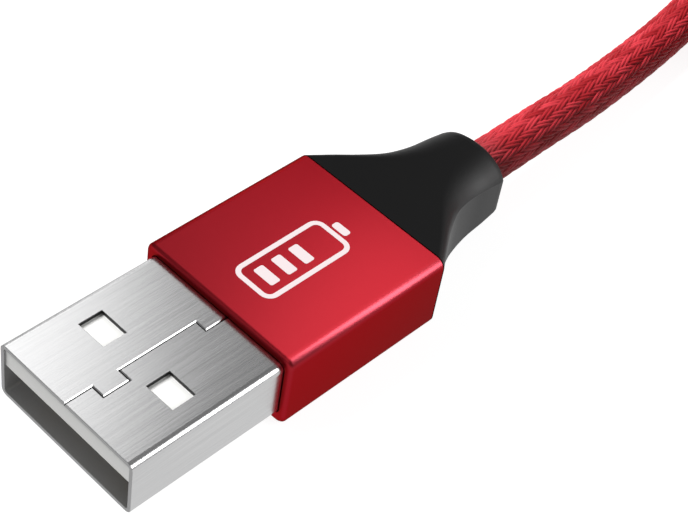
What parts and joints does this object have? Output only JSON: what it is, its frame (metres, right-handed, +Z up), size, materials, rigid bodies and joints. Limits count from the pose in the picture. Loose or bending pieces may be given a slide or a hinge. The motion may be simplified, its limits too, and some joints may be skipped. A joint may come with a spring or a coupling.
{
  "type": "charging cable",
  "caption": "Braided charging cable: rectangular steel plug in an anodised sleeve with a tapered strain relief, a cord in a strapped hank, and a small oval latching plug.",
  "frame": {"origin": "centre of the rectangular plug's footprint, on the surface that it lies on", "axes": "+Y from the rectangular plug's mouth to its cord, +Z up; the plug's mouth faces -Y"},
  "size_m": [0.0306, 0.1662, 0.0155],
  "materials": {
    "nickel_steel": "nickel plated sheet steel, fine lengthwise brushing",
    "white_plastic": "moulded, satin",
    "gold_plate": "gold plated, smooth",
    "copper": "bare stranded copper",
    "solder": "tinned, bright",
    "wire_red": "extruded insulation",
    "wire_white": "extruded insulation",
    "wire_green": "extruded insulation",
    "wire_black": "extruded insulation",
    "cord_jacket": "extruded jacket under the braid",
    "red_braid": "woven nylon braid with a slight sheen",
    "red_anodised": "red anodised, satin",
    "black_rubber": "moulded elastomer, matte",
    "black_plastic": "moulded, satin",
    "strap_fabric": "woven hook and loop strap",
    "circuit_green": "solder mask",
    "resistor_black": "smooth"
  },
  "bodies": {
    "cable": {"host_shell": "nickel_steel", "host_tongue": "white_plastic", "host_contact_power": "gold_plate", "host_contact_data_minus": "gold_plate", "host_contact_data_plus": "gold_plate", "host_contact_ground": "gold_plate", "host_conductor_ends": "copper", "host_solder_joints": "solder", "host_wire_power": "wire_red", "host_wire_data_minus": "wire_white", "host_wire_data_plus": "wire_green", "host_wire_ground": "wire_black", "host_cover_top": "white_plastic", "host_cover_bottom": "white_plastic", "host_cord_jacket": "cord_jacket", "host_braid_end": "red_braid", "host_sleeve": "red_anodised", "host_strain_relief": "black_rubber", "cord_lead": "red_braid", "cord_hank": "red_braid", "cord_tail": "red_braid", "hank_strap": "strap_fabric", "phone_shell": "nickel_steel", "phone_insulator": "black_plastic", "phone_contacts_upper": "gold_plate", "phone_contacts_lower": "gold_plate", "phone_contact_tails": "gold_plate", "phone_paddle_card": "circuit_green", "phone_resistor": "resistor_black", "phone_solder_joints": "solder", "phone_wire_power": "wire_red", "phone_wire_data_minus": "wire_white", "phone_wire_data_plus": "wire_green", "phone_wire_ground": "wire_black", "phone_inner_mould": "white_plastic", "phone_cord_jacket": "cord_jacket", "phone_braid_end": "red_braid", "phone_sleeve": "red_anodised", "phone_strain_relief": "black_rubber"},
    "left_latch": {"phone_latch_left": "nickel_steel"},
    "right_latch": {"phone_latch_right": "nickel_steel"}
  },
  "joints": [
    {"name": "left_latch_flex", "type": "hinge", "parent": "cable", "child": "left_latch", "pos_m": [0.00485, 0.141, 0.01295], "axis": [0, 0, 1], "range_deg": [0, 2], "stiffness_Nm_per_rad": 0.0004},
    {"name": "right_latch_flex", "type": "hinge", "parent": "cable", "child": "right_latch", "pos_m": [0.01115, 0.141, 0.01295], "axis": [0, 0, -1], "range_deg": [0, 2], "stiffness_Nm_per_rad": 0.0004}
  ]
}
